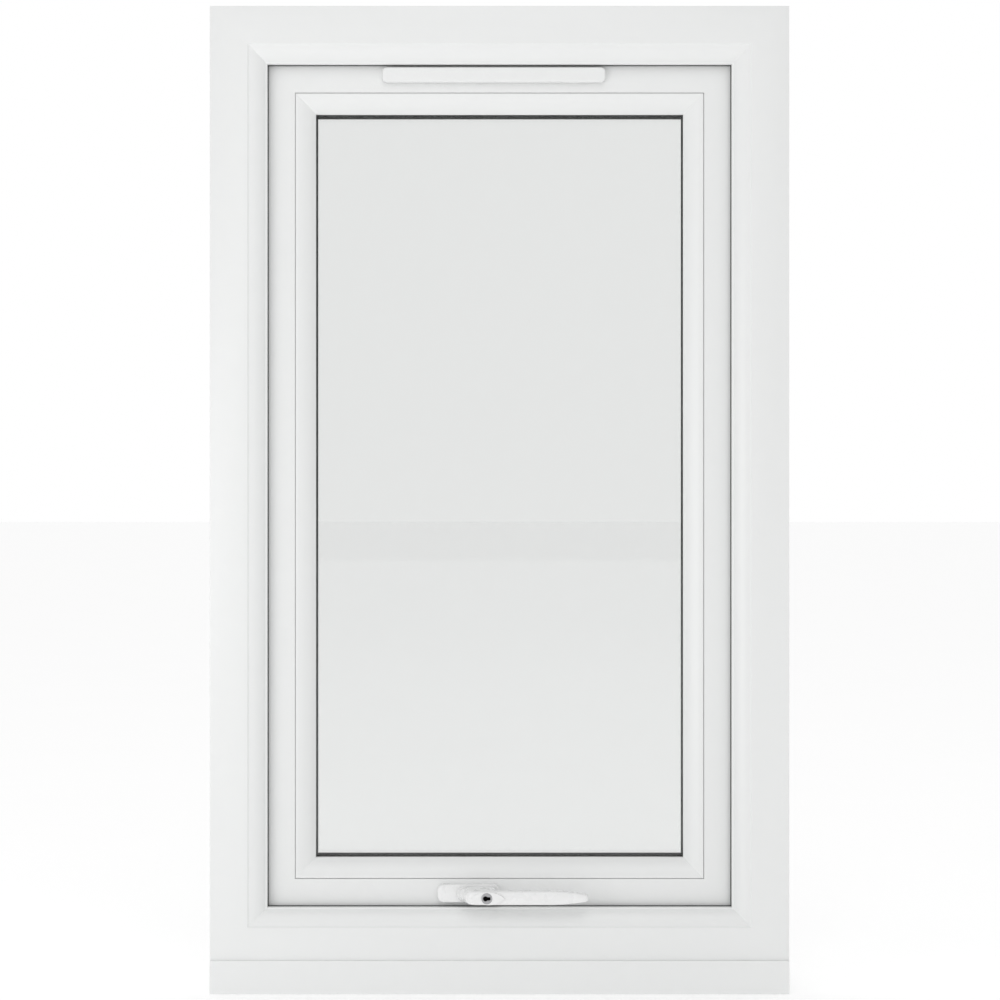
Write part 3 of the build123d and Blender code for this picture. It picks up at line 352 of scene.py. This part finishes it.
def corner_of(side, u):
    """Corner of the ring at depth u, counted from the lower left corner, clockwise."""
    low, high = FRAME_LOW + u, FRAME_HIGH - u
    across = HALF_WIDTH - u
    return [(-across, low), (-across, high), (across, high), (across, low)][side]


def section_at(section, side):
    """Points of a section where two sides meet."""
    made = []
    for u, y in section:
        x, z = corner_of(side, u)
        made.append((x, y, z))
    return made


def ring(name, section, node, body):
    """Section carried round the four sides, with flush mitres."""
    count = len(section)
    points, faces = [], []
    for side in range(4):
        points += section_at(section, side)
        here, there = side * count, (side + 1) % 4 * count
        for k in range(count):
            nxt = (k + 1) % count
            faces.append((here + k, here + nxt, there + nxt, there + k))
    flat = {k for k in range(count) if abs(section[k][1] - section[(k + 1) % count][1]) < 1e-7}

    def at_mitre(a, b):
        if a // count != b // count:
            return False
        k = min(a % count, b % count)
        if {a % count, b % count} == {0, count - 1}:
            k = count - 1
        return k not in flat

    return piece(name, points, faces, node, body, at_mitre)


def bar(name, section, sides, node, body):
    """Section carried along one side and cut at 45 degrees at both ends."""
    count = len(section)
    points = section_at(section, sides[0]) + section_at(section, sides[1])
    faces = [(k, (k + 1) % count, count + (k + 1) % count, count + k) for k in range(count)]
    faces += [tuple(range(count - 1, -1, -1)), tuple(range(count, 2 * count))]
    return piece(name, points, faces, node, body)


# Outer frame: flat, sharp quirk, ovolo, and a narrow land at the tip of the nose

OUTER_EDGE = 0.4 * MM
EDGE_MIDDLE = 0.12 * MM
QUIRK_FOOT = (FRAME_FLAT + 1.4 * MM, 1.1 * MM)
OVOLO_START = (FRAME_FLAT + 1.8 * MM, 1.25 * MM)
OVOLO_MIDDLE = (FRAME_FLAT + 10.4 * MM, 3.7 * MM)
OVOLO_END = (NOSE_REACH - 1.9 * MM, 9.6 * MM)
LAND_START = (NOSE_REACH - 1.6 * MM, 9.75 * MM)
LAND_END = (NOSE_REACH - OUTER_EDGE, 9.8 * MM)
NOSE_CORNER = (NOSE_REACH - EDGE_MIDDLE, 9.92 * MM)
NOSE_SIDE = (NOSE_REACH, 10.2 * MM)

frame_section = [
    (NOSE_REACH, NOSE_BACK),
    (REBATE, NOSE_BACK),
    (REBATE, FRAME_DEPTH),
    (0, FRAME_DEPTH),
    (0, OUTER_EDGE),
    (EDGE_MIDDLE, EDGE_MIDDLE),
    (OUTER_EDGE, 0),
    (FRAME_FLAT, 0),
    QUIRK_FOOT,
    *arc(OVOLO_START, OVOLO_MIDDLE, OVOLO_END, PROFILE_STEPS),
    LAND_START,
    *arc(LAND_END, NOSE_CORNER, NOSE_SIDE, 3),
]
ring("frame_profile", frame_section, "outer_frame", "root")


# Frame gasket: a stem in the nose's groove and a domed lip between the nose and the sash

STEM_LEFT = 50.4 * MM
STEM_RIGHT = 53.6 * MM
STEM_FRONT = 15.0 * MM
LIP_LEFT = 49.4 * MM
LIP_RIGHT = 60.4 * MM
LIP_SIDE = 19.2 * MM
LIP_CROWN = (54.0 * MM, 21.6 * MM)

gasket_section = [
    (STEM_LEFT, STEM_FRONT),
    (STEM_LEFT, NOSE_BACK),
    (LIP_LEFT, NOSE_BACK),
    *arc((LIP_LEFT, LIP_SIDE), LIP_CROWN, (LIP_RIGHT, LIP_SIDE), 8),
    (LIP_RIGHT, NOSE_BACK),
    (STEM_RIGHT, NOSE_BACK),
    (STEM_RIGHT, STEM_FRONT),
]
ring("frame_seal", gasket_section, "frame_gasket", "root")


# Glazing beads: a rounded edge at the sash, a curved fall and a rounded edge at the glass

BEAD_EDGE = 88.4 * MM
BEAD_BACK = 39 * MM
BEAD_LEG = 46 * MM
BEAD_LEG_WIDTH = 2.2 * MM
EDGE_SIDE = (BEAD_EDGE, SASH_FACE + 0.9 * MM)
EDGE_CORNER = (BEAD_EDGE + 0.3 * MM, SASH_FACE + 0.3 * MM)
FALL_START = (BEAD_EDGE + 0.9 * MM, SASH_FACE + 0.05 * MM)
FALL_MIDDLE = (BEAD_EDGE + 11.3 * MM, SASH_FACE + 3.5 * MM)
FALL_END = (SIGHTLINE - 1 * MM, SASH_FACE + 10.2 * MM)
INNER_CORNER = (SIGHTLINE - 0.25 * MM, SASH_FACE + 10.8 * MM)
INNER_SIDE = (SIGHTLINE, SASH_FACE + 11.6 * MM)

bead_section = [
    (BEAD_EDGE, BEAD_LEG),
    *arc(EDGE_SIDE, EDGE_CORNER, FALL_START, 3),
    *arc(FALL_START, FALL_MIDDLE, FALL_END, PROFILE_STEPS)[1:],
    *arc(FALL_END, INNER_CORNER, INNER_SIDE, 4)[1:],
    (SIGHTLINE, BEAD_BACK),
    (BEAD_EDGE + BEAD_LEG_WIDTH, BEAD_BACK),
    (BEAD_EDGE + BEAD_LEG_WIDTH, BEAD_LEG),
]
BEAD_SIDES = {"left": (0, 1), "top": (1, 2), "right": (2, 3), "bottom": (3, 0)}
for side, ends in BEAD_SIDES.items():
    bar(f"bead_{side}", bead_section, ends, f"glazing_bead_{side}", "sash")


# Handle cover: a rounded edge, then four slopes that meet in a low ridge

COVER_HALF_WIDTH = 33 * MM
COVER_HALF_HEIGHT = 9.5 * MM
COVER_CORNER = 7 * MM
LEAST_CORNER = 0.1 * MM
COVER_RIM = 2.0 * MM
COVER_RECESS = 0.1 * MM
COVER_EDGE = 0.2 * MM
COVER_SHOULDER = 14.6 * MM
COVER_FRONT = 12.0 * MM
COVER_ROUND = 1.5 * MM
COVER_ROUND_STEPS = 6
COVER_SLOPE_STEPS = 5
RIDGE_INSET = COVER_HALF_HEIGHT - 0.2 * MM


def cover_outline(inset, steps=OUTLINE_STEPS):
    """Rounded outline of the handle cover, drawn in by an inset."""
    half_width, half_height = COVER_HALF_WIDTH - inset, COVER_HALF_HEIGHT - inset
    radius = max(COVER_CORNER - inset, LEAST_CORNER)
    made = []
    for turn, (side, level) in enumerate(((1, -1), (1, 1), (-1, 1), (-1, -1))):
        for step in range(steps // 2 + 1):
            angle = math.pi / 2 * (turn - 1 + 2 * step / steps)
            made.append((
                HANDLE_X + side * (half_width - radius) + radius * math.cos(angle),
                HANDLE_Z + level * (half_height - radius) + radius * math.sin(angle),
            ))
    return made


cover_rows = [
    face_ring(cover_outline(COVER_RIM), SASH_FACE - COVER_RECESS),
    face_ring(cover_outline(COVER_EDGE), SASH_FACE),
    face_ring(cover_outline(0), SASH_FACE - COVER_EDGE),
]
for step in range(COVER_ROUND_STEPS + 1):
    angle = math.pi / 2 * step / COVER_ROUND_STEPS
    cover_rows.append(face_ring(
        cover_outline(COVER_ROUND * (1 - math.cos(angle))),
        COVER_SHOULDER - COVER_ROUND * math.sin(angle),
    ))
slope_start = COVER_SHOULDER - COVER_ROUND
for step in range(1, COVER_SLOPE_STEPS + 1):
    share = step / COVER_SLOPE_STEPS
    cover_rows.append(face_ring(
        cover_outline(COVER_ROUND + (RIDGE_INSET - COVER_ROUND) * share),
        slope_start - (slope_start - COVER_FRONT) * share,
    ))
piece("cover_shell", *loops(cover_rows), "handle_cover", "sash", angle=25)


# Lever: a blade skinned over stations along its length

LEVER_LEFT = -5 * MM
LEVER_REACH = 125.8 * MM
HEEL_LENGTH = 13 * MM
LEVER_TAPER = 40 * MM
LEVER_HALF = 7.2 * MM
LEVER_TIP = 4 * MM
LEVER_BACK = -12 * MM
LEVER_FRONT = -21.5 * MM
LEVER_CROWN = 0.5 * MM
LEVER_ROUND = 2.6 * MM
BACK_ROUND = 0.6 * MM
END_ANGLE = math.radians(5)
CROWN_STEPS = 4
EDGE_STEPS = 6
REAR_STEPS = 3
STRAIGHT_STEPS = 12
TAPER_STEPS = 16
HEEL_END = LEVER_LEFT + HEEL_LENGTH
TAPER_START = LEVER_REACH - LEVER_TAPER
TIP_CENTRE = LEVER_REACH - LEVER_TIP


def quarter(share):
    """Height of a quarter circle of radius 1 at a share of its width, from 0 up to 1."""
    return math.sqrt(max(1 - (1 - share) ** 2, 0))


def lever_half_height(x):
    """Half the height of the lever's outline at one place along it."""
    lean = 2 * math.atan((LEVER_HALF - LEVER_TIP) / (LEVER_TAPER - LEVER_TIP))
    if x < HEEL_END:
        return LEVER_HALF * quarter((x - LEVER_LEFT) / HEEL_LENGTH)
    if x < TAPER_START:
        return LEVER_HALF
    tip_start = TIP_CENTRE + LEVER_TIP * math.sin(lean)
    if x < tip_start:
        radius = (tip_start - TAPER_START) / math.sin(lean)
        return LEVER_HALF - (radius - math.sqrt(radius ** 2 - (x - TAPER_START) ** 2))
    return math.sqrt(max(LEVER_TIP ** 2 - (x - TIP_CENTRE) ** 2, 0))


def lever_section(x):
    """Section across the blade at one place along it."""
    half = lever_half_height(x)
    back, front = LEVER_BACK, LEVER_FRONT
    if x < HEEL_END:
        front = back - (back - front) * quarter((x - LEVER_LEFT) / HEEL_LENGTH)
    elif x > TIP_CENTRE:
        fall = 1 - quarter((LEVER_REACH - x) / LEVER_TIP)
        back, front = back - BACK_ROUND * fall, front + LEVER_ROUND * fall
    # Both rounds shrink where the blade gets low or thin
    edge = min(LEVER_ROUND, 0.9 * half, 0.5 * (back - front))
    rear = min(BACK_ROUND, 0.5 * half, 0.2 * (back - front))
    crown = LEVER_CROWN * half / LEVER_HALF
    made = []
    for step in range(-CROWN_STEPS, CROWN_STEPS + 1):
        share = step / CROWN_STEPS
        made.append(((half - edge) * share, front - crown * (1 - share ** 2)))
    for step in range(1, EDGE_STEPS + 1):
        angle = math.pi / 2 * step / EDGE_STEPS
        made.append((half - edge + edge * math.sin(angle), front + edge * (1 - math.cos(angle))))
    for step in range(REAR_STEPS + 1):
        angle = math.pi / 2 * step / REAR_STEPS
        made.append((half - rear * (1 - math.cos(angle)), back - rear * (1 - math.sin(angle))))
    made += [(-z, y) for z, y in reversed(made[2 * CROWN_STEPS + 1:])]
    return [(HANDLE_X + x, y, HANDLE_Z + z) for z, y in made]


stations = []
for step in range(OUTLINE_STEPS):
    angle = END_ANGLE + (math.pi / 2 - END_ANGLE) * step / OUTLINE_STEPS
    stations.append(LEVER_LEFT + HEEL_LENGTH * (1 - math.cos(angle)))
for step in range(STRAIGHT_STEPS):
    stations.append(HEEL_END + (TAPER_START - HEEL_END) * step / STRAIGHT_STEPS)
for step in range(TAPER_STEPS):
    stations.append(TAPER_START + (TIP_CENTRE - TAPER_START) * step / TAPER_STEPS)
for step in range(OUTLINE_STEPS + 1):
    angle = (math.pi / 2 - END_ANGLE) * step / OUTLINE_STEPS
    stations.append(LEVER_REACH - LEVER_TIP * (1 - math.sin(angle)))
blade = loops([lever_section(x) for x in stations])


# Neck: a slot outline that leans to the right and narrows towards the blade

NECK_BACK = 11.7 * MM
NECK_FRONT = -19.5 * MM
NECK_LEFT = -12.6 * MM
NECK_LEAN = 9.6 * MM
NECK_RIGHT = 31.0 * MM
NECK_FLARE = 2.5 * MM
NECK_HALF = 8.0 * MM
NECK_WAIST = 1.2 * MM
NECK_STEPS = 10


def slot_outline(left, right, half_height, steps=OUTLINE_STEPS):
    """Slot outline between two ends, in x and z."""
    made = []
    for turn, place in ((0, right - half_height), (math.pi, left + half_height)):
        for step in range(steps + 1):
            angle = math.pi * (step / steps - 0.5) + turn
            made.append((
                HANDLE_X + place + half_height * math.cos(angle),
                HANDLE_Z + half_height * math.sin(angle),
            ))
    return made


neck_rows = []
for step in range(NECK_STEPS + 1):
    share = step / NECK_STEPS
    ease = share * share * (3 - 2 * share)
    neck_rows.append(face_ring(
        slot_outline(
            NECK_LEFT + NECK_LEAN * share,
            NECK_RIGHT + NECK_FLARE * ease,
            NECK_HALF - NECK_WAIST * ease,
        ),
        NECK_BACK + (NECK_FRONT - NECK_BACK) * share,
    ))
neck = loops(neck_rows)


# Boss round the lock: a pointed oval that rises to the right, with a hole for the barrel

BOSS_LEFT = 2.9 * MM
BOSS_RIGHT = 38.4 * MM
BOSS_HALF = 6.8 * MM
BOSS_RISE = 1.9 * MM
BOSS_ROUND = 0.25 * MM
BOSS_ROUND_STEPS = 5
BOSS_SINK = 1.5 * MM
BOSS_STEP = 0.1 * MM
POINT_DRAW = 1.6
RISE_RATE = 1.6
BARREL_RADIUS = 5.7 * MM


def boss_outline(inset, steps=OUTLINE_STEPS):
    """Pointed oval of the lock's boss, drawn in by an inset, and more so at its points."""
    middle = (BOSS_LEFT + BOSS_RIGHT) / 2
    half_length = (BOSS_RIGHT - BOSS_LEFT) / 2 - inset * POINT_DRAW
    half_height = BOSS_HALF - inset
    upper = arc((-half_length, 0), (0, half_height), (half_length, 0), steps * 2)
    lower = [(x, -z) for x, z in reversed(upper[1:-1])]
    return [(HANDLE_X + middle + x, HANDLE_Z + z) for x, z in upper + lower]


def boss_front(x):
    """Depth of the boss's front, which rises from the lever's face towards the tip."""
    share = (x - HANDLE_X - BOSS_LEFT) / (BOSS_RIGHT - BOSS_LEFT)
    rise = BOSS_RISE * min(1, max(0, share * RISE_RATE))
    return LEVER_FRONT - LEVER_CROWN - BOSS_STEP - rise


def boss_ring(inset, drop):
    """Outline of the boss on its sloping front, dropped by the same amount all round."""
    return [(x, boss_front(x) + drop, z) for x, z in boss_outline(inset)]


def lock_hole(outline):
    """Round hole for the barrel in the boss's front, one point for each of an outline."""
    made = []
    for x, _, z in outline:
        way = Vector((x - LOCK_X, z - HANDLE_Z)).normalized() * BARREL_RADIUS
        made.append((LOCK_X + way.x, boss_front(LOCK_X + way.x), HANDLE_Z + way.y))
    return made


boss_rows = [face_ring(boss_outline(0), LEVER_FRONT + BOSS_SINK)]
for step in range(BOSS_ROUND_STEPS + 1):
    angle = math.pi / 2 * step / BOSS_ROUND_STEPS
    boss_rows.append(
        boss_ring(BOSS_ROUND * (1 - math.cos(angle)), BOSS_ROUND * (1 - math.sin(angle))))
hole_edge = lock_hole(boss_rows[-1])
boss_rows += [hole_edge, [(x, LEVER_FRONT, z) for x, _, z in hole_edge]]
boss = loops(boss_rows, close_end=False)
piece("lever_body", *joined([blade, neck, boss]), "handle_lever", "handle", angle=30)


# Lock barrel: a disc with a keyhole cut in it, in front of a plain cylinder

BARREL_THICK = 1.8 * MM
BARREL_RIM = 0.35 * MM
BARREL_BACK = -3 * MM
FLOOR_RADIUS = BARREL_RADIUS - 0.4 * MM
FLOOR_FRONT = BARREL_FRONT + BARREL_THICK - 0.05 * MM
KEYHOLE_X = -1.4 * MM
KEYHOLE_RADIUS = 2.9 * MM
KEYHOLE_SLOT = 3.9 * MM
KEYHOLE_END = 4.0 * MM


def circle(radius, steps=48):
    """Circle about the origin."""
    return [
        (radius * math.cos(math.tau * step / steps), radius * math.sin(math.tau * step / steps))
        for step in range(steps)
    ]


def keyhole(steps=24):
    """Outline of a round hole with a slot to its right."""
    start = math.asin(KEYHOLE_SLOT / 2 / KEYHOLE_RADIUS)
    made = []
    for step in range(steps + 1):
        angle = start + (math.tau - 2 * start) * step / steps
        made.append((KEYHOLE_X + KEYHOLE_RADIUS * math.cos(angle), KEYHOLE_RADIUS * math.sin(angle)))
    return made + [(KEYHOLE_END, -KEYHOLE_SLOT / 2), (KEYHOLE_END, KEYHOLE_SLOT / 2)]


def flat_curve(name, outlines, depth, bevel):
    """Flat outline with holes, extruded, as a mesh in its own plane."""
    curve = bpy.data.curves.new(name, "CURVE")
    curve.dimensions = "2D"
    curve.fill_mode = "BOTH"
    curve.extrude = depth / 2
    curve.bevel_depth = bevel
    curve.bevel_resolution = 2
    for outline in outlines:
        spline = curve.splines.new("POLY")
        spline.points.add(len(outline) - 1)
        for point, (x, y) in zip(spline.points, outline):
            point.co = (x, y, 0, 1)
        spline.use_cyclic_u = True
    temporary = bpy.data.objects.new(name + "_curve", curve)
    bpy.context.scene.collection.objects.link(temporary)
    bpy.context.view_layer.update()
    evaluated = temporary.evaluated_get(bpy.context.evaluated_depsgraph_get())
    mesh = bpy.data.meshes.new_from_object(evaluated)
    bpy.data.objects.remove(temporary)
    return mesh


disc = flat_curve(
    "barrel",
    [circle(BARREL_RADIUS - BARREL_RIM), keyhole()],
    BARREL_THICK - 2 * BARREL_RIM,
    BARREL_RIM,
)
disc_points = [
    (LOCK_X + v.co.x, BARREL_FRONT + BARREL_THICK / 2 - v.co.z, HANDLE_Z + v.co.y)
    for v in disc.vertices
]
disc_faces = [tuple(face.vertices) for face in disc.polygons]
floor_rows = [
    [(LOCK_X + x, y, HANDLE_Z + z) for x, z in circle(FLOOR_RADIUS)]
    for y in (FLOOR_FRONT, BARREL_BACK)
]
barrel = joined([(disc_points, disc_faces), loops(floor_rows)])
piece("lock_face", *barrel, "lock_barrel", "lock", angle=30)


# Vent flap: a hollow cap with rounded edges, cut up to its pivot at the back

VENT_X = -6.0 * MM
VENT_HALF = 118 * MM
VENT_TOP = 978 * MM
VENT_HEIGHT = 16 * MM
VENT_PIVOT_Z = 966.4 * MM
FLAP_FRONT = 14 * MM
FLAP_BACK = 21.7 * MM
FLAP_SKIRT = 19.8 * MM
FLAP_WALL = 1.8 * MM
FLAP_ROUND = 1.6 * MM
FLAP_ROUND_STEPS = 6
FLAP_CORNER = 5 * MM
FLAP_LEAST_CORNER = 0.6 * MM


def flap_outline(inset):
    """Outline of the flap with rounded corners, drawn in by an inset."""
    half = VENT_HALF - inset
    top, bottom = VENT_TOP - inset, VENT_TOP - VENT_HEIGHT + inset
    corners = [
        (VENT_X - half, bottom), (VENT_X - half, top),
        (VENT_X + half, top), (VENT_X + half, bottom),
    ]
    return rounded(corners, max(FLAP_CORNER - inset, FLAP_LEAST_CORNER))


flap_rows = [
    face_ring(flap_outline(FLAP_WALL), FLAP_FRONT + FLAP_WALL),
    face_ring(flap_outline(FLAP_WALL), FLAP_BACK),
    face_ring(flap_outline(0), FLAP_BACK),
]
for step in range(FLAP_ROUND_STEPS + 1):
    angle = math.pi / 2 * step / FLAP_ROUND_STEPS
    flap_rows.append(face_ring(
        flap_outline(FLAP_ROUND * (1 - math.cos(angle))),
        FLAP_FRONT + FLAP_ROUND * (1 - math.sin(angle)),
    ))
flap_points, flap_faces = loops(flap_rows)
flap_points = [
    (x, min(y, FLAP_SKIRT) if z < VENT_PIVOT_Z else y, z) for x, y, z in flap_points
]
piece("flap_shell", flap_points, flap_faces, "vent_flap", "vent_flap_body", angle=30)


# Stage: floor, world, lights and camera

def pale_floor():
    """Wide pale floor with a faint glow of its own."""
    mesh = bpy.data.meshes.new("floor")
    mesh.from_pydata(FLOOR_CORNERS, [], [(0, 1, 2, 3)])
    floor = bpy.data.objects.new("floor", mesh)
    bpy.context.scene.collection.objects.link(floor)
    finish, tree, shader, _ = new_material("floor")
    two_tones(tree, shader, noise(tree, FLOOR_NOISE), *FLOOR_TONES)
    shader.inputs["Roughness"].default_value = FLOOR_ROUGH
    shader.inputs["Emission Color"].default_value = (*PAGE, 1)
    shader.inputs["Emission Strength"].default_value = FLOOR_GLOW
    mesh.materials.append(finish)


def white_world():
    """White world that is a little dimmer on the room's side than behind the window."""
    world = bpy.data.worlds.new("world")
    bpy.context.scene.world = world
    world.use_nodes = True
    tree = world.node_tree
    background = tree.nodes["Background"]
    background.inputs["Color"].default_value = (*PAGE, 1)
    way = tree.nodes.new("ShaderNodeTexCoord")
    split = tree.nodes.new("ShaderNodeSeparateXYZ")
    tree.links.new(way.outputs["Generated"], split.inputs["Vector"])
    light = map_range(tree, split.outputs["Y"], (0, PAGE_TURN), (ROOM_LIGHT, PAGE_LIGHT))
    tree.links.new(light, background.inputs["Strength"])


def lamp(name, place, target, size, power):
    """Square area light aimed at a point."""
    light = bpy.data.lights.new(name, "AREA")
    light.size = size
    light.energy = power
    holder = bpy.data.objects.new(name, light)
    bpy.context.scene.collection.objects.link(holder)
    holder.location = place
    aim = Vector(target) - Vector(place)
    holder.rotation_mode = "QUATERNION"
    holder.rotation_quaternion = aim.to_track_quat("-Z", "Y")


pale_floor()
white_world()
lamp("key", KEY_PLACE, KEY_TARGET, KEY_SIZE, KEY_POWER)
lamp("top", TOP_PLACE, TOP_TARGET, TOP_SIZE, TOP_POWER)

camera_data = bpy.data.cameras.new("camera")
camera_data.lens = CAMERA_LENS
camera_data.sensor_width = CAMERA_SENSOR
camera = bpy.data.objects.new("camera", camera_data)
bpy.context.scene.collection.objects.link(camera)
camera.location = CAMERA_PLACE
camera.rotation_euler = (math.pi / 2, 0, 0)
bpy.context.scene.camera = camera
bpy.context.scene.view_settings.view_transform = "Standard"
bpy.context.scene.view_settings.look = "None"
